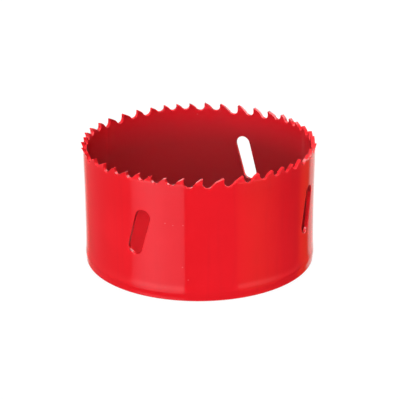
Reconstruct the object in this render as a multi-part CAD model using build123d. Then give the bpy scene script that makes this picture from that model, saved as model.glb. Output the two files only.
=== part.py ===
from build123d import *
from build123d.topology import SkipClean
import os
from math import sin, cos, tan, atan2, exp, radians, degrees, hypot

os.makedirs("parts", exist_ok=True)

# ---------------------------------------------------------------------------
# Hole saw, bi-metal type, 79 mm (3 1/8 in) nominal cutting diameter.
# It stands on its back plate with the teeth up: +Z runs along the axis from
# the back plate to the teeth, and the origin is the centre of the outer face
# of the back plate. Two pieces make the tool:
#   toothed_wall - toothed strip rolled into a tube and butt welded, with three
#                  slanted slug slots through it
#   back_plate   - turned steel plate welded into the other end of the tube,
#                  with the arbor thread and the drive pin holes
# All lengths in millimetres, angles in degrees, counter-clockwise from +X
# seen from the tooth side.
# ---------------------------------------------------------------------------

# ---- tube ------------------------------------------------------------------
WALL_R = 38.6            # outer radius of the tube
WALL_T = 1.3             # strip thickness
WALL_RI = WALL_R - WALL_T
HEIGHT = 41.9            # tooth tips above the outer face of the back plate
SPREAD = 0.09            # the tube's end is spread this much over the plate,
SPREAD_Z0, SPREAD_Z1 = 5.0, 13.5     # between these heights,
SWELL, SWELL_Z, SWELL_W = 0.18, 3.35, 1.65   # and swells at the weld round the rim

# ---- back plate ------------------------------------------------------------
PLATE_T = 4.6            # full thickness
RIM_T = 3.0              # height of the rim that the tube stands on
FOOT_R, FOOT_Z = 37.3, 0.8           # flat oval round between outer face and rim
SPIGOT_R = 37.5
SPIGOT_CHAMFER = 0.5
ARBOR_R = 7.94           # 5/8-18 UNF arbor thread, major radius
ARBOR_CHAMFER = 0.6
PIN_PCD = 26.0           # drive pin holes
PIN_R = 3.4
PIN_COUNT = 4
PIN_FIRST = 45.0
PIN_CHAMFER = 0.4

# ---- slug slots ------------------------------------------------------------
SLOT_W = 5.3
SLOT_LEN = 16.0          # overall, with round ends
SLOT_LEAN = 16.0         # from the axis, top end towards +angle
SLOTS = [(-120.3, 22.3), (-23.5, 22.7), (63.1, 23.0)]   # angle and height of the
                         # middle: quarter points of the strip, and the butt
                         # weld takes the fourth quarter point
# ---- butt weld -------------------------------------------------------------
SEAM_ANGLE = 148.5       # in a gullet, a quarter turn past the last slot
BEAD_W = 2.3             # inside flash, dressed low
BEAD_H = 0.16

# ---- teeth -----------------------------------------------------------------
# Variable pitch: angle of each tip, going round counter-clockwise.
TIPS = [-176.2, -168.0, -161.0, -151.0, -142.7, -134.6, -126.6, -120.2, -113.2, -105.6,
        -97.1, -88.3, -78.2, -68.3, -60.1, -52.5, -45.3, -39.1, -31.4, -23.2,
        -14.9, -7.0, 3.8, 11.5, 20.0, 27.7, 33.9, 41.2, 50.1, 59.4,
        68.8, 78.6, 87.1, 95.2, 102.2, 109.0, 116.9, 125.2, 134.9, 145.0,
        153.6, 162.4, 169.8, 176.6]
# Set of each tooth: how far its tip is bent sideways, outwards positive.
SETS = [0.69, 0.95, 0.93, 0.24, -0.18, -0.07, 0.13, -0.84, -0.4, 0.05,
        -0.46, -0.43, -0.18, -0.63, -0.64, -0.04, -0.08, 0.2, -0.1, 0.62,
        0.0, 0.53, 0.01, 0.16, -0.33, -0.51, -0.18, 0.33, -0.1, 0.1,
        0.31, -0.03, 0.68, -0.07, -0.03, 0.18, -0.6, -0.27, -0.34, -0.16,
        0.06, 0.51, 0.69, 0.15]
# Depth of the gullet after each tooth, as a part of its pitch.
DEPTHS = [0.42, 0.42, 0.42, 0.34, 0.46, 0.36, 0.38, 0.39, 0.41, 0.39,
          0.48, 0.44, 0.42, 0.4, 0.4, 0.42, 0.42, 0.42, 0.42, 0.42,
          0.42, 0.42, 0.42, 0.42, 0.42, 0.4, 0.41, 0.35, 0.47, 0.46,
          0.49, 0.41, 0.435, 0.4, 0.435, 0.385, 0.47, 0.41, 0.45, 0.47,
          0.37, 0.4, 0.42, 0.42]
DEPTH_MIN = 1.95
BEND_DOWN = 1.75         # the set starts this far below the tips
TIP_FLAT = 0.12          # width left at the very tip
GULLET_BY_PITCH = 0.29   # gullet radius follows the pitch
GULLET_R_MAX = 1.65
HOOK = 6.0               # positive rake of the cutting face
BACK_SLOPE = 50.0        # back of the tooth above its gullet, from the horizontal
LAND_RELIEF = 26.0       # and behind the tip
BACK_MIN = 0.5           # shortest straight of the steep part

N = len(TIPS)
BEND_Z = HEIGHT - BEND_DOWN


def gap(i):
    """Gullet between tooth i (its cutting face) and tooth i+1 (its back)."""
    a = TIPS[i % N]
    b = TIPS[(i + 1) % N]
    if b < a:
        b += 360.0
    pitch = WALL_R * radians(b - a)
    depth = max(DEPTH_MIN, DEPTHS[i % N] * pitch)
    rg = min(GULLET_R_MAX, GULLET_BY_PITCH * pitch)
    h = radians(HOOK)
    run = (depth - rg - rg * sin(h)) / cos(h)      # straight cutting face
    cx = -run * sin(h) + rg * cos(h)               # gullet centre from tip i
    cz = -depth + rg
    return a, b, pitch, depth, rg, run, cx, cz


def radial_plane(angle, r):
    """Plane square to the radius at this angle: x along +angle, y up."""
    t = radians(angle)
    return Plane(origin=(r * cos(t), r * sin(t), 0),
                 x_dir=(-sin(t), cos(t), 0), z_dir=(cos(t), sin(t), 0))


CUT_IN, CUT_OUT = 34.0, 42.5     # the cutters reach from inside to outside
ABOVE = 1.5                      # and this far over the tips
LAP = 0.15                       # the two cutters of a gullet overlap here


def face_cutter(i):
    """Clears the cutting face of tooth i down to the bottom of its gullet."""
    a, b, pitch, depth, rg, run, cx, cz = gap(i)
    h = radians(HOOK)
    z = HEIGHT
    p0 = (0.0, z)
    p1 = (-run * sin(h), z - run * cos(h))
    # point half way round the quarter bend, measured from the gullet centre
    m = radians((180 + HOOK + 270) / 2)
    pm = (cx + rg * cos(m), z + cz + rg * sin(m))
    p2 = (cx, z - depth)
    p3 = (cx + LAP, z - depth)
    p4 = (cx + LAP, z + ABOVE)
    p5 = (0.0, z + ABOVE)
    edges = [Line(p0, p1), ThreePointArc(p1, pm, p2), Line(p2, p3),
             Line(p3, p4), Line(p4, p5), Line(p5, p0)]
    face = make_face(edges)
    return extrude(radial_plane(a, CUT_IN) * face, CUT_OUT - CUT_IN)


def back_cutter(i):
    """Clears the back of tooth i+1, from the gullet bottom up to its land."""
    a, b, pitch, depth, rg, run, cx, cz = gap(i)
    z = HEIGHT
    # the gullet centre seen from tooth i+1
    gb = cx / WALL_R
    gx = -WALL_R * sin(radians(b - a) - gb)
    be, ga = radians(BACK_SLOPE), radians(LAND_RELIEF)
    ae = (gx + rg * sin(be), cz - rg * cos(be))    # end of the gullet bend
    room = -TIP_FLAT - ae[0] + ae[1] / tan(be)
    land = room / (1 - tan(ga) / tan(be))
    steep = (-TIP_FLAT - land - ae[0]) / cos(be)
    if steep < BACK_MIN:                           # a shallow gullet takes a flatter back
        steep = BACK_MIN
        kx, kz = ae[0] + steep * cos(be), ae[1] + steep * sin(be)
        ga = atan2(-kz, -TIP_FLAT - kx)
        land = -TIP_FLAT - kx
    knee = (-TIP_FLAT - land, -land * tan(ga))
    # round the knee with a tangent arc
    cut = min(0.55 * land / cos(ga), 0.8 * steep)
    k1 = (knee[0] - cut * cos(be), knee[1] - cut * sin(be))
    k2 = (knee[0] + cut * cos(ga), knee[1] + cut * sin(ga))
    turn = be - ga
    rk = cut / tan(turn / 2)
    kc = (k2[0] + rk * sin(ga), k2[1] - rk * cos(ga))
    d = (knee[0] - kc[0], knee[1] - kc[1])
    dl = hypot(*d)
    km = (kc[0] + d[0] / dl * rk, kc[1] + d[1] / dl * rk)
    m = radians(270 + BACK_SLOPE / 2)
    gm = (gx + rg * cos(m), cz + rg * sin(m))

    def up(p):
        return (p[0], p[1] + z)

    edges = [Line(up((gx - LAP, -depth)), up((gx, -depth))),
             ThreePointArc(up((gx, -depth)), up(gm), up(ae)),
             Line(up(ae), up(k1)),
             ThreePointArc(up(k1), up(km), up(k2)),
             Line(up(k2), up((-TIP_FLAT, 0.0))),
             Line(up((-TIP_FLAT, 0.0)), up((-TIP_FLAT, ABOVE))),
             Line(up((-TIP_FLAT, ABOVE)), up((gx - LAP, ABOVE))),
             Line(up((gx - LAP, ABOVE)), up((gx - LAP, -depth)))]
    face = make_face(edges)
    return extrude(radial_plane(b, CUT_IN) * face, CUT_OUT - CUT_IN)


face_cutters = [face_cutter(i) for i in range(N)]
back_cutters = [back_cutter(i) for i in range(N)]

# ---- tube below the line where the set starts -------------------------------
def wall_r(z):
    """Outer radius of the tube and of the rim under it."""
    t = min(1.0, max(0.0, (SPREAD_Z1 - z) / (SPREAD_Z1 - SPREAD_Z0)))
    return (WALL_R + SPREAD * t * t * (3 - 2 * t)
            + SWELL * exp(-((z - SWELL_Z) / SWELL_W) ** 2))


def side_line(z0, z1, n, inwards=0.0):
    """The tube's side between two heights, as points."""
    return [(wall_r(z0 + (z1 - z0) * k / n) - inwards, z0 + (z1 - z0) * k / n) for k in range(n + 1)]


side = side_line(RIM_T, SPREAD_Z1, 14)
side[-1] = (WALL_R, SPREAD_Z1)
section = make_face([Spline(side, tangents=[(0.05, 1), (0, 1)]),
                     Line((WALL_R, SPREAD_Z1), (WALL_R, BEND_Z)),
                     Line((WALL_R, BEND_Z), (WALL_RI, BEND_Z)),
                     Line((WALL_RI, BEND_Z), (WALL_RI, SPREAD_Z1)),
                     Spline([(r - WALL_T, z) for r, z in side[::-1]], tangents=[(0, -1), (-0.05, -1)]),
                     Line((side[0][0] - WALL_T, RIM_T), (side[0][0], RIM_T))])
tube = revolve(Plane.XZ * section, Axis.Z, revolution_arc=360)

# inside flash of the butt weld, a low rounded ridge along the tube
bead_r = ((BEAD_W / 2) ** 2 + BEAD_H ** 2) / (2 * BEAD_H)
bead_z0, bead_z1 = PLATE_T + 0.4, BEND_Z
bead = Pos(WALL_RI - BEAD_H + bead_r, 0, (bead_z0 + bead_z1) / 2) * Cylinder(bead_r, bead_z1 - bead_z0)
bead = bead & (Pos(0, 0, (bead_z0 + bead_z1) / 2) * Cylinder(WALL_RI + 0.4, bead_z1 - bead_z0))
tube = tube + Rot(0, 0, SEAM_ANGLE) * bead

# slug slots
for ang, mid in SLOTS:
    pill = SlotOverall(SLOT_LEN, SLOT_W)
    pill = Pos(0, mid) * Rot(0, 0, 90 - SLOT_LEAN) * pill
    tube = tube - extrude(radial_plane(ang, CUT_IN) * pill, CUT_OUT - CUT_IN)

# gullets, where they reach below the line
tube = tube - face_cutters - back_cutters

# ---- teeth above the line -----------------------------------------------------
teeth = []
for i in range(N):
    # this tooth runs from the gullet before it to the gullet after it
    ap, bp, pp, dp, rp, rnp, cxp, czp = gap(i - 1)
    an, bn, pn, dn, rn, rnn, cxn, czn = gap(i)
    a0 = ap + degrees(cxp / WALL_R)
    a1 = an + degrees(cxn / WALL_R)
    if a0 > a1:
        a0 -= 360.0
    s = SETS[i]
    section = Plane.XZ * make_face(Polyline((WALL_RI, BEND_Z), (WALL_R, BEND_Z),
                                            (WALL_R + s, HEIGHT), (WALL_RI + s, HEIGHT),
                                            close=True))
    ring = revolve(section, Axis.Z, revolution_arc=a1 - a0)
    ring = Rot(0, 0, a0) * ring
    tooth = ring - face_cutters[i] - back_cutters[i - 1]
    teeth.append(tooth)

with SkipClean():        # keeps the bend lines at the roots of the teeth
    wall = tube.fuse(*teeth)

# ---- back plate ---------------------------------------------------------------
rim = side_line(FOOT_Z, RIM_T, 6)
foot_a = rim[0][0] - FOOT_R
foot_mid = (FOOT_R + foot_a * sin(radians(45)), FOOT_Z - FOOT_Z * cos(radians(45)))
outer = [Line((0, 0), (FOOT_R, 0)),
         Spline([(FOOT_R, 0), foot_mid, rim[0]], tangents=[(1, 0), (0, 1)]),
         Spline(rim, tangents=[(0.03, 1), (0.05, 1)]),
         Line(rim[-1], (SPIGOT_R, RIM_T)),
         Line((SPIGOT_R, RIM_T), (SPIGOT_R, PLATE_T - SPIGOT_CHAMFER)),
         Line((SPIGOT_R, PLATE_T - SPIGOT_CHAMFER), (SPIGOT_R - SPIGOT_CHAMFER, PLATE_T)),
         Line((SPIGOT_R - SPIGOT_CHAMFER, PLATE_T), (0, PLATE_T)),
         Line((0, PLATE_T), (0, 0))]
plate = revolve(Plane.XZ * make_face(outer), Axis.Z, revolution_arc=360)


def hole(r, chamfer):
    """Through hole with both mouths chamfered."""
    prof = Polyline((0, -1), (r + chamfer + 1, -1), (r, chamfer), (r, PLATE_T - chamfer),
                    (r + chamfer + 1, PLATE_T + 1), (0, PLATE_T + 1), close=True)
    return revolve(Plane.XZ * make_face(prof), Axis.Z, revolution_arc=360)


plate = plate - hole(ARBOR_R, ARBOR_CHAMFER)
for k in range(PIN_COUNT):
    t = radians(PIN_FIRST + k * 360.0 / PIN_COUNT)
    plate = plate - Pos(PIN_PCD / 2 * cos(t), PIN_PCD / 2 * sin(t), 0) * hole(PIN_R, PIN_CHAMFER)

# ---- write ----------------------------------------------------------------------
wall.label = "toothed_wall"
plate.label = "back_plate"
export_step(wall, "parts/toothed_wall.step")
export_step(plate, "parts/back_plate.step")
print("wall solids", len(wall.solids()), "volume", round(wall.volume, 1), "valid", wall.is_valid)
print("plate solids", len(plate.solids()), "volume", round(plate.volume, 1), "valid", plate.is_valid)
pitches = [round(gap(i)[2], 2) for i in range(N)]
print("teeth", N, "pitch", min(pitches), "to", max(pitches))
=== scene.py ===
import bpy, math
import numpy as np
from mathutils import Vector, Matrix
from mathutils.kdtree import KDTree
from mathutils.geometry import delaunay_2d_cdt


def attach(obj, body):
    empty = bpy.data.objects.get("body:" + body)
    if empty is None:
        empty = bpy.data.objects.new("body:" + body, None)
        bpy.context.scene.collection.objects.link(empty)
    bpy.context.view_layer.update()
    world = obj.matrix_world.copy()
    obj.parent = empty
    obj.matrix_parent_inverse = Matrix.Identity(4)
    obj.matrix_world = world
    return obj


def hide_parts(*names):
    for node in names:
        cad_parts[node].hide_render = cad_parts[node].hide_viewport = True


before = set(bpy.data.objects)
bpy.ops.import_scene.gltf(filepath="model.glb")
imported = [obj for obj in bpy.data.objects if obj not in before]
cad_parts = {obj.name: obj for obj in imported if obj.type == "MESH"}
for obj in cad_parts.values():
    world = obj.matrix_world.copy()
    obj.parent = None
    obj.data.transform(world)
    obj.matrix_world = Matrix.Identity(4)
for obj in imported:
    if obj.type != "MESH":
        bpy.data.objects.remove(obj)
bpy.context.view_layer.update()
sc = bpy.context.scene
sc.view_settings.view_transform = 'Standard'
sc.view_settings.look = 'None'

# ---------------- camera ----------------
cam_d = bpy.data.cameras.new("camera"); cam = bpy.data.objects.new("camera", cam_d)
sc.collection.objects.link(cam); sc.camera = cam
cam_d.sensor_width = 36.0; cam_d.lens = 140.54
cam_d.clip_start = 0.01; cam_d.clip_end = 20
pos = Vector((0, -0.49204, 0.21481))
el = math.radians(21.600); yaw = math.radians(0.023)
fwd = Vector((math.sin(yaw)*math.cos(el), math.cos(yaw)*math.cos(el), -math.sin(el)))
right = fwd.cross(Vector((0,0,1))).normalized()
up = right.cross(fwd).normalized()
rot = Matrix((right, up, -fwd)).transposed()
rot = rot @ Matrix.Rotation(math.radians(-0.301), 3, 'Z')
cam.matrix_world = Matrix.Translation(pos) @ rot.to_4x4()

# ---------------- node helpers ----------------
class G:
    def __init__(s, nt): s.nt = nt
    def n(s, t, **kw):
        x = s.nt.nodes.new(t)
        for k, v in kw.items(): setattr(x, k, v)
        return x
    def put(s, sock, v):
        if isinstance(v, bpy.types.NodeSocket): s.nt.links.new(v, sock)
        else: sock.default_value = v
    def m(s, op, a, b=0.0, c=None, clamp=False):
        x = s.n("ShaderNodeMath", operation=op); x.use_clamp = clamp
        s.put(x.inputs[0], a); s.put(x.inputs[1], b)
        if c is not None: s.put(x.inputs[2], c)
        return x.outputs[0]
    def ramp(s, fac, stops, interp='LINEAR'):
        x = s.n("ShaderNodeValToRGB"); r = x.color_ramp; r.interpolation = interp
        while len(r.elements) < len(stops): r.elements.new(0.5)
        for e, (p, c) in zip(r.elements, stops):
            e.position = p
        for e, (p, c) in zip(r.elements, stops):
            e.color = (c, c, c, 1) if not isinstance(c, tuple) else (*c, 1)
        s.put(x.inputs[0], fac)
        return x.outputs[0]
    def mix(s, fac, a, b):
        x = s.n("ShaderNodeMix", data_type='RGBA')
        s.put(x.inputs[0], fac); s.put(x.inputs[6], a); s.put(x.inputs[7], b)
        return x.outputs[2]
    def scale(s, a, f):
        x = s.n("ShaderNodeVectorMath", operation='SCALE'); s.put(x.inputs[0], a); s.put(x.inputs[3], f)
        return x.outputs[0]
    def add(s, a, b):
        x = s.n("ShaderNodeVectorMath", operation='ADD'); s.put(x.inputs[0], a); s.put(x.inputs[1], b)
        return x.outputs[0]
    def mr(s, v, a, b, c=0.0, d=1.0, smooth=True):
        x = s.n("ShaderNodeMapRange"); x.interpolation_type = 'SMOOTHSTEP' if smooth else 'LINEAR'
        s.put(x.inputs[0], v)
        for i, q in enumerate((a, b, c, d)): s.put(x.inputs[i+1], q)
        return x.outputs[0]

def sn(deg): return math.sin(math.radians(deg))

# ---------------- sizes, in millimetres (the same numbers as the CAD source) ----------------
R0, WT, TOP = 38.6, 1.3, 41.9
RIM_T, PLATE_T = 3.0, 4.6
TIPS = [-176.2, -168.0, -161.0, -151.0, -142.7, -134.6, -126.6, -120.2, -113.2, -105.6, -97.1,
        -88.3, -78.2, -68.3, -60.1, -52.5, -45.3, -39.1, -31.4, -23.2, -14.9, -7.0,
        3.8, 11.5, 20.0, 27.7, 33.9, 41.2, 50.1, 59.4, 68.8, 78.6, 87.1,
        95.2, 102.2, 109.0, 116.9, 125.2, 134.9, 145.0, 153.6, 162.4, 169.8, 176.6]
N = len(TIPS)
SETS = [0.69, 0.95, 0.93, 0.24, -0.18, -0.07, 0.13, -0.84, -0.4, 0.05,
        -0.46, -0.43, -0.18, -0.63, -0.64, -0.04, -0.08, 0.2, -0.1, 0.62,
        0.0, 0.53, 0.01, 0.16, -0.33, -0.51, -0.18, 0.33, -0.1, 0.1,
        0.31, -0.03, 0.68, -0.07, -0.03, 0.18, -0.6, -0.27, -0.34, -0.16,
        0.06, 0.51, 0.69, 0.15]
DEPTHS = [0.42, 0.42, 0.42, 0.34, 0.46, 0.36, 0.38, 0.39, 0.41, 0.39, 0.48,
          0.44, 0.42, 0.4, 0.4, 0.42, 0.42, 0.42, 0.42, 0.42, 0.42, 0.42,
          0.42, 0.42, 0.42, 0.4, 0.41, 0.35, 0.47, 0.46, 0.49, 0.41, 0.435,
          0.4, 0.435, 0.385, 0.47, 0.41, 0.45, 0.47, 0.37, 0.4, 0.42, 0.42]
GULLET, GULLET_MAX = 0.29, 1.65
HOOK, BACK, LAND = 6.0, 50.0, 26.0
TIP_ROUND = 0.20
BEND_DOWN = 1.8
EDGE = 0.15              # lacquered edge round
SLOT_W, SLOT_LEN, SLOT_LEAN = 5.3, 16.0, 16.0
SLOTS = [(-120.3, 22.3), (-23.5, 22.7), (63.1, 23.0)]      # angle and height of each middle
SLOT_EDGE = 0.28
SEAM, BEAD_W, BEAD_H = 148.5, 2.3, 0.16
WELD_Z = 36.9

rad = math.radians

def sstep(x):
    x = np.clip(x, 0, 1)
    return x * x * (3 - 2 * x)

def wall_r(z):
    """Outer radius of the wall and rim: the end is spread a little over the plate."""
    z = np.asarray(z, float)
    return (R0 + 0.09 * sstep((13.5 - z) / 8.5) + 0.18 * np.exp(-((z - 3.35) / 1.65) ** 2)
            + 0.13 * sstep((z - 24.0) / 13.0))

def gap(i):
    a, b = TIPS[i % N], TIPS[(i + 1) % N]
    if b < a: b += 360.0
    pitch = R0 * rad(b - a)
    depth = max(1.95, DEPTHS[i % N] * pitch)
    rg = min(GULLET_MAX, GULLET * pitch)
    h = rad(HOOK)
    run = (depth - rg - rg * math.sin(h)) / math.cos(h)
    return pitch, depth, rg, run, -run * math.sin(h) + rg * math.cos(h), -depth + rg

def outline():
    """Closed tooth line in the unrolled strip: u along the wall, z up, and the normal out of the steel."""
    P, Nn, bounds_u = [], [], []
    h, be = rad(HOOK), rad(BACK)
    df = np.array([-math.sin(h), -math.cos(h)])
    for i in range(N):
        ut = R0 * rad(TIPS[i])
        pp, dp, rp, _, cxp, czp = gap(i - 1)
        pn, dn, rn, runn, cxn, czn = gap(i)
        ga = rad(LAND)
        for _ in range(3):                # a shallow gullet takes a flatter back
            dl = np.array([-math.cos(ga), -math.sin(ga)])
            al = math.acos(float(df @ dl)); bis = (df + dl) / np.linalg.norm(df + dl)
            c_off = bis * TIP_ROUND / math.sin(al / 2)
            qz = -TIP_ROUND - c_off[1]            # corner above the rounded tip
            tl = TIP_ROUND / math.tan(al / 2)
            e0 = (cxp - pp + rp * math.sin(be), czp - rp * math.cos(be))
            s_, t_ = np.linalg.solve(np.array([[math.cos(be), -dl[0]], [math.sin(be), -dl[1]]]), np.array([-e0[0], qz - e0[1]]))
            if s_ < 0.5: ga = math.atan2(qz - e0[1] - 0.5 * math.sin(be), -e0[0] - 0.5 * math.cos(be))
        gx = cxp - pp
        def arc(c, r, a0, a1, n, sign, last=False):
            for k in range(n + (1 if last else 0)):
                a = a0 + (a1 - a0) * k / n
                P.append((ut + c[0] + r * math.cos(a), TOP + c[1] + r * math.sin(a)))
                Nn.append((sign * math.cos(a), sign * math.sin(a)))
        def line(p, q, n, nrm):
            for k in range(n):
                t = k / n
                P.append((ut + p[0] + (q[0] - p[0]) * t, TOP + p[1] + (q[1] - p[1]) * t)); Nn.append(nrm)
        # gullet bottom up to the back
        bounds_u.append(ut + gx)
        arc((gx, czp), rp, rad(270), rad(270) + be, 7, -1)
        ae = (gx + rp * math.sin(be), czp - rp * math.cos(be))
        Q = (0.0, qz)
        # knee between the back line and the land line
        A = np.array([[math.cos(be), -dl[0]], [math.sin(be), -dl[1]]])
        s, t = np.linalg.solve(A, np.array([Q[0] - ae[0], Q[1] - ae[1]]))
        knee = np.array([ae[0] + s * math.cos(be), ae[1] + s * math.sin(be)])
        cut = min(0.62 * t, 0.8 * s)
        k1 = knee - cut * np.array([math.cos(be), math.sin(be)]); k2 = knee - cut * dl
        rk = cut / math.tan((be - ga) / 2)
        kc = k2 + rk * np.array([math.sin(ga), -math.cos(ga)])
        nb = (-math.sin(be), math.cos(be)); nl = (-math.sin(ga), math.cos(ga))
        line(ae, k1, 4, nb)
        arc(kc, rk, rad(90) + be, rad(90) + ga, 6, 1)
        tp = (Q[0] + dl[0] * tl, Q[1] + dl[1] * tl)
        line(k2, tp, 2, nl)
        arc((Q[0] + c_off[0], Q[1] + c_off[1]), TIP_ROUND, rad(90) + ga, -h, 8, 1)
        fp = (Q[0] + df[0] * tl, Q[1] + df[1] * tl)
        f1 = (-runn * math.sin(h), -runn * math.cos(h))
        line(fp, f1, 4, (math.cos(h), -math.sin(h)))
        arc((cxn, czn), rn, rad(180) + h, rad(270), 6, -1)
    return np.array(P), np.array(Nn), bounds_u

def bend(z):
    w = 0.35; b = TOP - BEND_DOWN
    t = np.clip((z - b + w), 0, None)
    return np.where(z > b + w, z - b, np.minimum(t, 2 * w) ** 2 / (4 * w)) / BEND_DOWN

class Wall:
    def __init__(s):
        s.P, s.N, s.bu = outline()
        s.L = 2 * math.pi * R0
        s.u0 = s.bu[0]
        # set of each tooth along u, eased across the gullet bottoms
        s.edges = np.array(s.bu + [s.u0 + s.L]); s.sets = np.array(SETS)
    def set_at(s, u):
        u = s.u0 + np.mod(u - s.u0, s.L)
        k = np.clip(np.searchsorted(s.edges, u, side='right') - 1, 0, N - 1)
        v = s.sets[k]
        w = 0.7
        dl = u - s.edges[k]; dr = s.edges[k + 1] - u
        pl = s.sets[(k - 1) % N]; pr = s.sets[(k + 1) % N]
        v = np.where(dl < w, pl + (v - pl) * sstep(0.5 + dl / (2 * w)), v)
        v = np.where(dr < w, pr + (v - pr) * sstep(0.5 + dr / (2 * w)), v)
        return v
    def radius(s, u, z, inner):
        r = wall_r(z) + s.set_at(u) * bend(z)
        k = np.exp(-((z - WELD_Z) / 0.28) ** 2)
        # edge strip: a hair of weld crown, and very slight waves from rolling the strip round
        th = u / R0
        wave = 0.010 * np.sin(17 * th + 0.6) + 0.006 * np.sin(31 * th + 2.1) + 0.005 * np.sin(9 * th + 4.0)
        r = r + wave * sstep((36.0 - z) / 20.0)
        if inner:
            d = (np.mod(th - rad(SEAM) + math.pi, 2 * math.pi) - math.pi) * (R0 - WT)
            lump = BEAD_H * np.clip(1 - (d / (BEAD_W / 2)) ** 2, 0, 1) * sstep((z - 5.0) / 0.8) * sstep((39.8 - z) / 0.8)
            return r - WT - 0.012 * k - lump
        return r + 0.012 * k
    def point(s, u, z, r):
        th = u / R0
        return np.stack([r * np.cos(th), r * np.sin(th), z], -1)
    def surf(s, u, z, inner):
        p = s.point(u, z, s.radius(u, z, inner)); e = 0.01
        du = s.point(u + e, z, s.radius(u + e, z, inner)) - s.point(u - e, z, s.radius(u - e, z, inner))
        dz = s.point(u, z + e, s.radius(u, z + e, inner)) - s.point(u, z - e, s.radius(u, z - e, inner))
        n = np.cross(du, dz); n /= np.linalg.norm(n, axis=-1, keepdims=True)
        return p, (-n if inner else n)

def inside(pts, poly):
    """Even-odd test of points against a closed loop."""
    x, y = pts[:, 0], pts[:, 1]; res = np.zeros(len(pts), bool)
    x1, y1 = poly[:, 0], poly[:, 1]; x2, y2 = np.roll(x1, -1), np.roll(y1, -1)
    for a0 in range(0, len(pts), 4000):
        X = x[a0:a0 + 4000, None]; Y = y[a0:a0 + 4000, None]
        c = (y1 > Y) != (y2 > Y)
        with np.errstate(divide='ignore', invalid='ignore'):
            xi = (x2 - x1) * (Y - y1) / np.where(y2 == y1, 1e-12, y2 - y1) + x1
        res[a0:a0 + 4000] = (np.sum(c & (X < xi), 1) % 2) == 1
    return res

def far(pts, edge_pts, dist):
    keep = np.ones(len(pts), bool)
    kd = KDTree(len(edge_pts))
    for k, q in enumerate(edge_pts): kd.insert((q[0], q[1], 0), k)
    kd.balance()
    for k, q in enumerate(pts):
        if kd.find((q[0], q[1], 0))[2] < dist[k]: keep[k] = False
    return keep

def fill(loops, extra):
    """Triangles between an outer loop and its holes, through extra points."""
    pts, edges, base = [], [], 0
    for lp in loops:
        n = len(lp); pts += [tuple(q) for q in lp]
        edges += [(base + k, base + (k + 1) % n) for k in range(n)]; base += n
    pts += [tuple(q) for q in extra]
    vs, _, fs, ov, _, _ = delaunay_2d_cdt([Vector(q) for q in pts], edges, [], 0, 1e-9)
    back = [o[0] if o else -1 for o in ov]
    V = np.array([(v.x, v.y) for v in vs]); F = np.array(fs)
    if F.ndim != 2: F = np.array([f[:3] for f in fs])
    cen = V[F].mean(1)
    ok = inside(cen, np.array(loops[0]))
    for lp in loops[1:]: ok &= ~inside(cen, np.array(lp))
    F = F[ok]; a = V[F]
    area = (a[:, 1, 0] - a[:, 0, 0]) * (a[:, 2, 1] - a[:, 0, 1]) - (a[:, 2, 0] - a[:, 0, 0]) * (a[:, 1, 1] - a[:, 0, 1])
    F = F[np.abs(area) > 1e-9]; area = area[np.abs(area) > 1e-9]
    F[area < 0] = F[area < 0][:, ::-1]
    bk = np.array(back)
    if (bk[F] < 0).any(): print('CROSS', [tuple(np.round(V[k], 3)) for k in np.unique(F[bk[F] < 0])][:12], len(vs), len(pts))
    assert (bk[F] >= 0).all()
    return bk[F]

class Builder:
    def __init__(s): s.v, s.n, s.f, s.c = [], [], [], 0
    def add(s, p, n):
        p = np.asarray(p, float); s.v.append(p.reshape(-1, 3)); s.n.append(np.asarray(n, float).reshape(-1, 3))
        k = s.c; s.c += len(s.v[-1]); return np.arange(k, s.c)
    def face(s, f): s.f += [tuple(int(q) for q in x) for x in f]
    def rows(s, rows, closed=True, flip=False):
        """Quads between rows of the same length."""
        for a, b in zip(rows[:-1], rows[1:]):
            n = len(a)
            for k in range(n if closed else n - 1):
                q = (a[k], a[(k + 1) % n], b[(k + 1) % n], b[k])
                s.f.append(tuple(int(x) for x in (q[::-1] if flip else q)))
    def report(s, name, V, faces):
        e = {}
        for f in faces:
            for a, b in zip(f, f[1:] + f[:1]): e[(a, b)] = e.get((a, b), 0) + 1
        bad = sum(1 for (a, b), c in e.items() if c != 1 or (b, a) not in e)
        vol = sum(float(np.dot(V[f[0]], np.cross(V[f[k]], V[f[k + 1]]))) for f in faces for k in range(1, len(f) - 1)) / 6
        print(name, "points", len(V), "triangles", sum(len(f) - 2 for f in faces), "open or doubled edges", bad, "volume cm3", round(vol * 1e6, 3))
    def mesh(s, name, mat):
        V = np.concatenate(s.v) * 0.001; Nn = np.concatenate(s.n)
        Nn = Nn / np.linalg.norm(Nn, axis=1, keepdims=True)
        _, first, inv = np.unique(np.round(V, 8), axis=0, return_index=True, return_inverse=True)   # weld what meets
        inv = inv.reshape(-1)
        faces = [tuple(int(inv[q]) for q in f) for f in s.f]
        me = bpy.data.meshes.new(name); me.from_pydata(V[first].tolist(), [], faces); me.update()
        me.polygons.foreach_set("use_smooth", [True] * len(me.polygons))
        me.normals_split_custom_set([tuple(Nn[q]) for f in s.f for q in f])
        s.report(name, V[first], faces)
        o = bpy.data.objects.new(name, me); bpy.context.scene.collection.objects.link(o); me.materials.append(mat)
        return o

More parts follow.
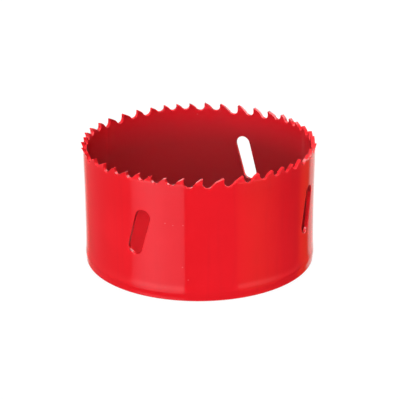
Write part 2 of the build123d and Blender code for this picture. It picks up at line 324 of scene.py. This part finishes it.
def edge_rows(B, W, P, Nrm, rho, K=4, mid=2):
    """Rows of points round an edge from the outer face over the cut to the inner face.
    P is the loop of the cut, Nrm its normal out of the steel, both unrolled."""
    rows = []
    def row(d, depth, inner, phi):
        u = P[:, 0] - Nrm[:, 0] * d; z = P[:, 1] - Nrm[:, 1] * d
        ps, ns = W.surf(u, z, inner)
        rr = W.radius(u, z, inner) + (depth if inner else -depth)
        th = u / R0
        p = W.point(u, z, rr)
        tan = np.stack([-np.sin(th), np.cos(th), 0 * th], -1)
        out = tan * Nrm[:, :1] + np.array([0, 0, 1.0]) * Nrm[:, 1:]
        return B.add(p, ns * math.cos(phi) + out * math.sin(phi))
    for k in range(K + 1):
        f = math.pi / 2 * k / K
        rows.append(row(rho * (1 - math.sin(f)), rho * (1 - math.cos(f)), False, f))
    for k in range(1, mid + 1):
        rows.append(row(0, rho + (WT - 2 * rho) * k / (mid + 1), False, math.pi / 2))
    for k in range(K, -1, -1):
        f = math.pi / 2 * k / K
        rows.append(row(rho * (1 - math.sin(f)), rho * (1 - math.cos(f)), True, f))
    return rows

def slot_loop(ang, mid):
    r = SLOT_W / 2; hl = SLOT_LEN / 2 - r; P, Nn = [], []
    lean = rad(SLOT_LEAN); ax = np.array([math.sin(lean), math.cos(lean)]); sd = np.array([math.cos(lean), -math.sin(lean)])
    c = np.array([R0 * rad(ang), mid])
    for k in range(25):                                    # top end
        a = math.pi * k / 24; d = sd * math.cos(a) + ax * math.sin(a)
        P.append(c + ax * hl + d * r); Nn.append(-d)
    for k in range(1, 12): P.append(c + ax * (hl - 2 * hl * k / 12) - sd * r); Nn.append(sd)
    for k in range(25):
        a = math.pi + math.pi * k / 24; d = sd * math.cos(a) + ax * math.sin(a)
        P.append(c - ax * hl + d * r); Nn.append(-d)
    for k in range(1, 12): P.append(c - ax * (hl - 2 * hl * k / 12) + sd * r); Nn.append(-sd)
    return np.array(P), np.array(Nn)

def make_wall(mat):
    B = Builder(); W = Wall(); P, Nn = W.P, W.N; M = len(P)
    top = edge_rows(B, W, P, Nn, EDGE)
    slots = []
    for a in SLOTS:
        sp, sn_ = slot_loop(*a)
        slots.append((sp, sn_, edge_rows(B, W, sp, sn_, SLOT_EDGE, K=5)))
    # rows run +u seen from outside; the cut's quads face out of the steel
    B.rows(top)
    for sp, sn_, rw in slots: B.rows(rw)
    # side seam of the unrolled strip
    zr = [3.0, 3.25, 3.5, 3.75, 4.0, 4.3, 4.7, 5.2, 6.0, 7.0, 8.2, 9.6] + list(np.arange(11.2, 35.5, 1.5)) + [36.2, 36.55, 36.72, 36.9, 37.08, 37.25, 37.6, 38.1]
    zr = [z for z in zr]
    teeth_rows = [38.6, 39.1, 39.4, 39.65, 39.85, 40.05, 40.25, 40.45, 40.7, 41.1, 41.5]
    nu = 244; us = W.u0 + W.L * np.arange(nu) / nu
    for inner, loop_ids in ((False, top[0]), (True, top[-1])):
        d = EDGE
        lp = np.stack([P[:, 0] - Nn[:, 0] * d, P[:, 1] - Nn[:, 1] * d], -1)
        u_l = W.u0; u_r = W.u0 + W.L; zt = lp[0, 1]
        zs = [z for z in zr if z < zt - 0.25 and z > 3.0]
        bottom_u = list(us[1:])
        # loop: tooth line left to right, its repeat at the right end, down, bottom right to left, up
        loop = [tuple(q) for q in lp] + [(u_r, zt)] + [(u_r, z) for z in zs[::-1]] + [(u_r, 3.0)] + [(u, 3.0) for u in bottom_u[::-1]] + [(u_l, 3.0)] + [(u_l, z) for z in zs]
        ids = list(loop_ids) + [loop_ids[0]]
        side_p, side_n = W.surf(np.full(len(zs), u_l), np.array(zs), inner)
        side = B.add(side_p, side_n) if len(zs) else []
        bp_, bn_ = W.surf(np.array([u_l] + bottom_u), np.full(1 + len(bottom_u), 3.0), inner)
        bot = B.add(bp_, bn_)
        ids += list(side[::-1]) + [bot[0]] + list(bot[1:][::-1]) + [bot[0]] + list(side)
        holes = []
        for sp, sn_, rw in slots:
            q = np.stack([sp[:, 0] - sn_[:, 0] * SLOT_EDGE, sp[:, 1] - sn_[:, 1] * SLOT_EDGE], -1)
            uc = q[:, 0].mean(); sh = W.L * round(((W.u0 + W.L / 2) - uc) / W.L); q[:, 0] += sh
            holes.append(q); ids += list(rw[-1] if inner else rw[0])
        # points between
        cand, cd = [], []
        for z in zs:
            for u in us[1:]: cand.append((u, z)); cd.append(0.42)
        for z in teeth_rows:
            for u in np.arange(W.u0 + 0.3, u_r - 0.2, 0.5): cand.append((u, z)); cd.append(0.17)
        if inner:                                        # the seam's bead
            ub = R0 * rad(SEAM); ub += W.L * round(((W.u0 + W.L / 2) - ub) / W.L)
            keep = [k for k, c in enumerate(cand) if abs(c[0] - ub) > 1.9 or c[1] > 39.9]
            cand = [cand[k] for k in keep]; cd = [cd[k] for k in keep]
            for z in np.arange(3.4, 39.9, 0.8):
                for du in np.arange(-1.6, 1.61, 0.2): cand.append((ub + du, z)); cd.append(0.15)
        cand = np.array(cand); cd = np.array(cd)
        allb = np.concatenate([np.array(loop)] + holes)
        ok = inside(cand, np.array(loop))
        for q in holes: ok &= ~inside(cand, q)
        cand, cd = cand[ok], cd[ok]
        ok = far(cand, allb, cd); cand = cand[ok]
        sp_, sn2 = W.surf(cand[:, 0], cand[:, 1], inner)
        ids += list(B.add(sp_, sn2))
        F = fill([loop] + [h for h in holes], cand)
        ids = np.array(ids); F = ids[F]
        if inner: F = F[:, ::-1]
        B.face(F)
        if inner: bi = bot
        else: bo = bot
    # closed end that stands on the rim
    pi = np.concatenate(B.v)
    a = B.add(pi[bo], np.tile([0, 0, -1.0], (len(bo), 1))); b = B.add(pi[bi], np.tile([0, 0, -1.0], (len(bi), 1)))
    B.rows([a, b], True, True)
    return B.mesh("toothed_wall_lacquered", mat)

# ---------------- back plate ----------------
SPIGOT_C, ARBOR_R, PIN_PCD, PIN_R, PIN_C = 0.5, 7.94, 26.0, 3.4, 0.4
THREAD_P, THREAD_H = 1.411, 0.76
FOOT_R, FOOT_Z = 37.3, 0.80

def make_plate(mat):
    B = Builder(); NU = 480
    th = 2 * math.pi * np.arange(NU) / NU
    def ring(r, z, nr, nz):
        c, s_ = np.cos(th), np.sin(th)
        return B.add(np.stack([r * c, r * s_, np.full(NU, z)], -1), np.stack([nr * c, nr * s_, np.full(NU, nz)], -1))
    rows = []
    # underside edge, a flat elliptical round out to the rim
    a_, b_ = float(wall_r(FOOT_Z)) - FOOT_R, FOOT_Z
    for k in range(15):
        f = math.pi / 2 * k / 14
        rows.append(ring(FOOT_R + a_ * math.sin(f), FOOT_Z - b_ * math.cos(f), math.sin(f) / a_, -math.cos(f) / b_))
    for z in np.linspace(FOOT_Z, RIM_T, 19)[1:]:
        d = (wall_r(z + .01) - wall_r(z - .01)) / .02
        rows.append(ring(float(wall_r(z)), float(z), 1.0, -float(d)))
    B.rows(rows)
    r_in = 37.5
    led = [ring(float(wall_r(RIM_T)), RIM_T, 0, 1), ring(r_in, RIM_T, 0, 1)]; B.rows(led)
    zc = PLATE_T - SPIGOT_C
    sp = [ring(r_in, RIM_T, 1, 0), ring(r_in, zc - .05, 1, 0), ring(r_in - .03, zc + .03, .92, .38), ring(r_in - SPIGOT_C + .06, PLATE_T - .04, .38, .92), ring(r_in - SPIGOT_C - .05, PLATE_T, 0, 1)]
    B.rows(sp)
    pins = [(PIN_PCD / 2 * math.cos(rad(45 + 90 * k)), PIN_PCD / 2 * math.sin(rad(45 + 90 * k))) for k in range(4)]
    # pin holes
    pin_rows = []
    for cx, cy in pins:
        M = 56; a = 2 * math.pi * np.arange(M) / M; rw = []
        def hole(r, z, nr, nz):
            return B.add(np.stack([cx + r * np.cos(a), cy + r * np.sin(a), np.full(M, z)], -1), np.stack([nr * np.cos(a), nr * np.sin(a), np.full(M, nz)], -1))
        for k in range(6):
            f = math.pi / 2 * k / 5
            rw.append(hole(PIN_R + PIN_C * (1 - math.sin(f)), PLATE_T - PIN_C * (1 - math.cos(f)), -math.sin(f), math.cos(f)))
        rw.append(hole(PIN_R, PLATE_T / 2, -1, 0))
        for k in range(5, -1, -1):
            f = math.pi / 2 * k / 5
            rw.append(hole(PIN_R + PIN_C * (1 - math.sin(f)), PIN_C * (1 - math.cos(f)), -math.sin(f), -math.cos(f)))
        B.rows(rw); pin_rows.append(rw)
    # threaded arbor hole: one start, right hand
    MT = 160; at = 2 * math.pi * np.arange(MT) / MT
    def bore_r(t, z):
        ph = np.mod(z / THREAD_P - t / (2 * math.pi), 1.0)
        tri = 1 - np.abs(2 * ph - 1)
        cr = np.clip((tri - 0.10) / 0.72, 0, 1); cr = 0.5 - 0.5 * np.cos(math.pi * (0.15 + 0.7 * cr)); cr = (cr - cr.min()) / max(1e-9, np.ptp(cr)) if np.ptp(cr) > 0 else cr
        r = ARBOR_R - THREAD_H * cr
        d = np.minimum(z, PLATE_T - z)
        cone = ARBOR_R + 0.62 - 1.05 * d
        return np.maximum(r, cone)
    zs = np.concatenate([[0, .04, .1, .2, .3, .4, .5], np.linspace(.6, PLATE_T - .6, 40), PLATE_T - np.array([.5, .4, .3, .2, .1, .04, 0])])[::-1]
    TT, ZZ = np.meshgrid(at, zs); RR = bore_r(TT, ZZ); e = 1e-3
    Zc = np.clip(ZZ, e, PLATE_T - e)
    drz = (bore_r(TT, Zc + e) - bore_r(TT, Zc - e)) / (2 * e); drt = (bore_r(TT + e, Zc) - bore_r(TT - e, Zc)) / (2 * e)
    er = np.stack([np.cos(TT), np.sin(TT), 0 * TT], -1); et = np.stack([-np.sin(TT), np.cos(TT), 0 * TT], -1)
    nn = -er + et * (drt / RR)[..., None] + np.array([0, 0, 1.0]) * drz[..., None]
    pp = er * RR[..., None] + np.array([0, 0, 1.0]) * ZZ[..., None]
    nn[0] = (0, 0, 1); nn[-1] = (0, 0, -1); nn[0] = nn[0] * .5 - er[0] * .5; nn[-1] = nn[-1] * .5 - er[-1] * .5
    bore = [B.add(pp[k], nn[k]) for k in range(len(zs))]; B.rows(bore)
    # the two faces
    for z, outer, br, pk, up_ in ((PLATE_T, sp[-1], bore[0], 0, 1), (0.0, rows[0], bore[-1], -1, -1)):
        V = np.concatenate(B.v)
        loops = [V[outer][:, :2], V[br][:, :2]] + [V[rw[pk]][:, :2] for rw in pin_rows]
        flat = np.array([0, 0, float(up_)])
        ids = []
        for lp in loops: ids += list(B.add(np.column_stack([lp, np.full(len(lp), z)]), np.tile(flat, (len(lp), 1))))
        cand = []
        for r in np.arange(10.0, 36.5, 1.6):
            n = max(24, int(2 * math.pi * r / 1.7)); cand += [(r * math.cos(2 * math.pi * (k + .5 * (int(r) % 2)) / n), r * math.sin(2 * math.pi * (k + .5 * (int(r) % 2)) / n)) for k in range(n)]
        cand = np.array(cand)
        ok = inside(cand, loops[0])
        for lp in loops[1:]: ok &= ~inside(cand, lp)
        cand = cand[ok]; cand = cand[far(cand, np.concatenate(loops), np.full(len(cand), 0.5))]
        ids += list(B.add(np.column_stack([cand, np.full(len(cand), z)]), np.tile(flat, (len(cand), 1))))
        F = np.array(ids)[fill(loops, cand)]
        B.face(F if up_ > 0 else F[:, ::-1])
    return B.mesh("back_plate_lacquered", mat)

# ---------------- red lacquer ----------------
def lacquer():
    m = bpy.data.materials.new("red_lacquer_sprayed"); m.use_nodes = True
    nt = m.node_tree; g = G(nt); b = nt.nodes["Principled BSDF"]
    tc = g.n("ShaderNodeTexCoord"); P = tc.outputs["Object"]
    def noise(scale, detail=2.0, rough=0.5, vec=None, dist=0.0):
        x = g.n("ShaderNodeTexNoise"); nt.links.new(vec or P, x.inputs["Vector"])
        x.inputs["Scale"].default_value = scale; x.inputs["Detail"].default_value = detail
        x.inputs["Roughness"].default_value = rough; x.inputs["Distortion"].default_value = dist
        return x.outputs["Fac"]
    # colour: a little thicker or thinner from place to place
    thick = noise(38.0, 3.0)
    c1 = g.mix(g.mr(thick, 0.35, 0.65), (0.800, 0.0112, 0.0185, 1), (0.850, 0.0128, 0.0210, 1))
    fine = noise(900.0, 2.0)
    c2 = g.mix(g.m('MULTIPLY', g.mr(fine, 0.5, 0.8), 0.10), c1, (0.90, 0.022, 0.030, 1))
    # the strip was rolled: faint upright streaks round the wall
    mp = g.n("ShaderNodeMapping"); nt.links.new(P, mp.inputs["Vector"]); mp.inputs["Scale"].default_value = (1.0, 1.0, 0.05)
    streak = noise(330.0, 3.0, 0.55, mp.outputs[0])
    c2 = g.mix(g.m('MULTIPLY', g.mr(streak, 0.50, 0.72), 0.16), c2, (0.62, 0.012, 0.020, 1))
    # painted shade: the inside is painted darker towards the bottom of the cup, with a little grey mixed in as a
    # painted reflection
    sp0 = g.n("ShaderNodeSeparateXYZ"); nt.links.new(P, sp0.inputs[0])
    gn = g.n("ShaderNodeNewGeometry"); sn0 = g.n("ShaderNodeSeparateXYZ"); nt.links.new(gn.outputs["Normal"], sn0.inputs[0])
    face_in = g.m('ADD', g.m('MULTIPLY', sp0.outputs[0], sn0.outputs[0]), g.m('MULTIPLY', sp0.outputs[1], sn0.outputs[1]))
    inside_shade_mask = g.mr(face_in, -0.010, -0.025)
    # painted shade on the inside faces: dark red near the plate, brighter red near the rim
    inside_painted_shade = g.ramp(g.mr(sp0.outputs[2], 0.004, 0.042, smooth=False), [(0.0, (.31, .036, .043)), (0.62, (.52, .037, .045)), (0.82, (.74, .030, .043)), (0.93, (.87, .019, .031))])
    c3 = g.mix(inside_shade_mask, c2, inside_painted_shade)
    # painted shade: the cut faces of the slots are painted dark, except where they face upward
    rr = g.m('SQRT', g.m('ADD', g.m('MULTIPLY', sp0.outputs[0], sp0.outputs[0]), g.m('MULTIPLY', sp0.outputs[1], sp0.outputs[1])))
    cut = g.m('MULTIPLY', g.m('MULTIPLY', g.mr(rr, 0.03745, 0.03765), g.mr(rr, 0.0385, 0.0382)), g.m('MULTIPLY', g.mr(sp0.outputs[2], 0.0120, 0.0130), g.mr(sp0.outputs[2], 0.0335, 0.0325)))
    cut = g.m('MULTIPLY', cut, g.m('SUBTRACT', 1.0, g.mr(sn0.outputs[2], 0.0, 0.35)))
    # painted shade laid on the slots' cut faces
    c3 = g.mix(cut, c3, (.30, .010, .014, 1))
    # under the lacquer: turned rings on the plate's faces and the grind of the strip
    sep = g.n("ShaderNodeSeparateXYZ"); nt.links.new(P, sep.inputs[0])
    X, Y, Z = sep.outputs
    r = g.m('SQRT', g.m('ADD', g.m('MULTIPLY', X, X), g.m('MULTIPLY', Y, Y)))
    low_ = g.m('SUBTRACT', 1.0, g.mr(Z, 0.0047, 0.0052))
    inner_ = g.m('SUBTRACT', 1.0, g.mr(r, 0.0364, 0.0372))
    cmb = g.n("ShaderNodeCombineXYZ"); nt.links.new(r, cmb.inputs[0])
    rings = noise(2300.0, 3.0, 0.6, cmb.outputs[0])
    rings = g.m('MULTIPLY', g.m('MULTIPLY', g.m('SUBTRACT', rings, 0.5), low_), inner_)
    # orange peel of the sprayed coat, and a few nibs of dust in it, whose pale pink colour is a painted highlight
    peel = noise(620.0, 1.5, 0.45)
    soft = noise(120.0, 1.0)
    vor = g.n("ShaderNodeTexVoronoi"); nt.links.new(P, vor.inputs["Vector"]); vor.inputs["Scale"].default_value = 130.0
    sc_ = g.n("ShaderNodeSeparateColor"); nt.links.new(vor.outputs["Color"], sc_.inputs[0])
    some = g.m('GREATER_THAN', sc_.outputs[0], 0.93)
    nib_bump_and_glint = g.m('MULTIPLY', g.m('SUBTRACT', 1.0, g.mr(vor.outputs["Distance"], 0.0, 0.045)), some)
    for az_, z_, r_ in NIBS:
        dd = g.n("ShaderNodeVectorMath", operation='DISTANCE'); nt.links.new(P, dd.inputs[0])
        dd.inputs[1].default_value = (0.0386*math.cos(math.radians(az_)), 0.0386*math.sin(math.radians(az_)), z_/1000)
        nib_bump_and_glint = g.m('MAXIMUM', nib_bump_and_glint, g.m('SUBTRACT', 1.0, g.mr(dd.outputs["Value"], 0.0, r_/1000)))
    # painted shade: the plate's inner face, down in the cup, is painted darker
    plate_inside_shade_mask = g.m('MULTIPLY', g.m('MULTIPLY', g.mr(sn0.outputs[2], 0.6, 0.9), g.m('SUBTRACT', 1.0, g.mr(sp0.outputs[2], 0.0050, 0.0060))), g.m('SUBTRACT', 1.0, g.mr(rr, 0.0371, 0.0374)))
    c3 = g.mix(plate_inside_shade_mask, c3, (.60, .0115, .0175, 1))
    # painted highlight: the nib specks are painted pale pink
    c4 = g.mix(g.m('MULTIPLY', nib_bump_and_glint, 0.30), c3, (0.90, 0.35, 0.36, 1))
    nt.links.new(c4, b.inputs["Base Color"])
    h = g.m('ADD', g.m('MULTIPLY', peel, PEEL), g.m('MULTIPLY', soft, SOFT))
    h = g.m('ADD', h, g.m('MULTIPLY', nib_bump_and_glint, 0.000012))
    h = g.m('ADD', h, g.m('MULTIPLY', streak, 0.000012))
    h = g.m('ADD', h, g.m('MULTIPLY', rings, 0.000006))
    bump = g.n("ShaderNodeBump"); bump.inputs["Strength"].default_value = 1.0; bump.inputs["Distance"].default_value = 1.0
    nt.links.new(h, bump.inputs["Height"])
    nt.links.new(bump.outputs[0], b.inputs["Normal"]); nt.links.new(bump.outputs[0], b.inputs["Coat Normal"])
    ro = g.mr(noise(60.0, 2.0), 0.3, 0.7, 0.44, 0.56)
    nt.links.new(ro, b.inputs["Roughness"])
    b.inputs["Specular IOR Level"].default_value = 0.0
    b.inputs["Coat Weight"].default_value = 1.0
    b.inputs["Coat Roughness"].default_value = 0.03
    b.inputs["Coat IOR"].default_value = 1.5
    return m

PEEL, SOFT = 0.0000016, 0.000006
NIBS = [(-106.4, 26.8, .34), (-102.6, 26.3, .30), (-97.8, 26.5, .32), (-98.2, 12.1, .34), (-95.5, 7.8, .36), (-106.7, 4.7, .30)]
mat = lacquer()
wall = make_wall(mat); plate = make_plate(mat)
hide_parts("toothed_wall"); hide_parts("back_plate")
for o in (wall, plate):
    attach(o, "root")
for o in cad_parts.values():
    for s_ in o.material_slots: s_.material = mat

# ---------------- studio ----------------
w = bpy.data.worlds.new("studio"); sc.world = w; w.use_nodes = True
nt = w.node_tree; nt.nodes.clear(); g = G(nt)
tc = g.n("ShaderNodeTexCoord"); sep = g.n("ShaderNodeSeparateXYZ")
nt.links.new(tc.outputs["Generated"], sep.inputs[0])
X, Y, Z = sep.outputs
az = g.m('ARCTAN2', Y, X)
t = g.m('ADD', g.m('MULTIPLY', az, 1/(2*math.pi)), 0.5)
def A(d): return d/360.0 + 0.5
# cards below the horizon, which the upright wall mirrors
low = g.ramp(t, [
    (A(-180), .08), (A(-163), .06), (A(-157), (.50,.50,.56)), (A(-150), (.68,.68,.76)), (A(-137), (.90,.90,.98)), (A(-122), (.70,.70,.78)), (A(-111), (.64,.64,.72)), (A(-104.6), (.50,.50,.56)), (A(-104.2), .0),
    (A(-53), .0), (A(-52.4), (.85,.1,.03)), (A(-32), (.8,.2,.05)), (A(-24), (.5,.14,.03)), (A(-5), (.3,.06,.03)), (A(0), .02),
    (A(27), .02), (A(31), (1.3,.09,.02)), (A(48), (.85,.12,.03)), (A(55), (1.15,.72,.66)), (A(100), (1.05,.9,.88)), (A(110), (.9,.5,.45)), (A(122), (.85,.21,.18)), (A(141), (.55,.16,.17)), (A(166), (.2,.1,.1))])
# the boards are whiter along their upper edge, except where the camera stands between them
top_ = g.ramp(t, [(A(-180), .2), (A(-160), .3), (A(-150), 1.0), (A(-105), 1.0), (A(-104.2), 0.0), (A(-53), 0.0), (A(-52), .85), (A(-20), .75), (A(0), .15), (A(60), .4), (A(110), .4), (A(150), .25)])
edge_ = g.mr(Z, sn(-22.5), sn(-11))
lowm = g.mix(edge_, low, g.add(g.scale(low, 1.0), g.scale(top_, 0.95)))
card = g.mr(Z, sn(-33), sn(-29.5))
near = g.mr(Z, sn(-62), sn(-75), 0.0, 0.35)
cmb = g.n("ShaderNodeCombineXYZ"); [nt.links.new(near, cmb.inputs[i]) for i in range(3)]
lowv = g.add(g.scale(lowm, card), cmb.outputs[0])
# above the horizon: dim all round, a low board behind, a soft box high on the left and one high behind on the right
def band(v, a0, a1, b0, b1):
    return g.m('MULTIPLY', g.mr(v, a0, a1), g.m('SUBTRACT', 1.0, g.mr(v, b0, b1)))
board = g.m('MULTIPLY', band(t, A(96), A(101), A(112), A(117)), band(Z, sn(-6), sn(2), sn(17), sn(25)))
board2 = g.m('MULTIPLY', band(t, A(2), A(12), A(58), A(66)), band(Z, sn(10), sn(16), sn(58), sn(64)))
left_ = band(t, A(-179), A(-173), A(-125), A(-108))
box_ = g.m('MULTIPLY', left_, band(Z, sn(51), sn(56), sn(68), sn(74)))
up_ = g.m('ADD', g.m('ADD', g.m('ADD', 0.22, g.m('MULTIPLY', board, 1.1)), g.m('MULTIPLY', board2, 3.5)), g.m('MULTIPLY', box_, 8.0))
cu = g.n("ShaderNodeCombineXYZ"); [nt.links.new(up_, cu.inputs[i]) for i in range(3)]
over = g.mr(Z, sn(62), sn(78))
upc = g.mix(over, cu.outputs[0], (0.9, 0.9, 0.9, 1))
gl = g.mix(g.mr(Z, sn(-4), sn(2)), lowv, upc)
# soft light for the paint itself: low all round, and a lamp straight above
around = g.ramp(t, [(A(-180), .90), (A(-135), 1.0), (A(-100), 1.05), (A(-75), 1.07), (A(-60), .52), (A(-40), .06), (A(-10), .03), (A(40), .10), (A(90), .45), (A(135), .70), (A(180), .90)])
dif = g.add(g.scale(around, g.mr(Z, sn(6), sn(26), 2.24, 0.0)), g.mix(g.mr(Z, sn(76), sn(82)), (0, 0, 0, 1), (27.0, 27.0, 27.0, 1)))
key_ = g.m('MULTIPLY', g.m('MULTIPLY', band(t, A(-128), A(-112), A(-88), A(-70)), band(Z, sn(24), sn(34), sn(48), sn(58))), 3.4)
ck = g.n("ShaderNodeCombineXYZ"); [nt.links.new(key_, ck.inputs[i]) for i in range(3)]
dif = g.add(dif, ck.outputs[0])
lp = g.n("ShaderNodeLightPath")
c1 = g.mix(lp.outputs["Is Glossy Ray"], dif, gl)
c2 = g.mix(lp.outputs["Is Camera Ray"], c1, (1, 1, 1, 1))
bg = g.n("ShaderNodeBackground"); nt.links.new(c2, bg.inputs[0]); bg.inputs[1].default_value = 1.0
ow = g.n("ShaderNodeOutputWorld"); nt.links.new(bg.outputs[0], ow.inputs[0])
w.cycles.sampling_method = 'NONE'

# floor
me = bpy.data.meshes.new("floor"); s = 6.0
me.from_pydata([(-s,-s,0),(s,-s,0),(s,s,0),(-s,s,0)], [], [(0,1,2,3)])
floor = bpy.data.objects.new("floor", me); sc.collection.objects.link(floor)
fm = bpy.data.materials.new("floor"); fm.use_nodes = True
fb = fm.node_tree.nodes["Principled BSDF"]; fb.inputs["Base Color"].default_value = (.08,.09,.09,1); fb.inputs["Roughness"].default_value = 1; fb.inputs["Specular IOR Level"].default_value = 0
fb.inputs["Emission Color"].default_value = (1,1,1,1); fb.inputs["Emission Strength"].default_value = .93
me.materials.append(fm)
floor.visible_glossy = False
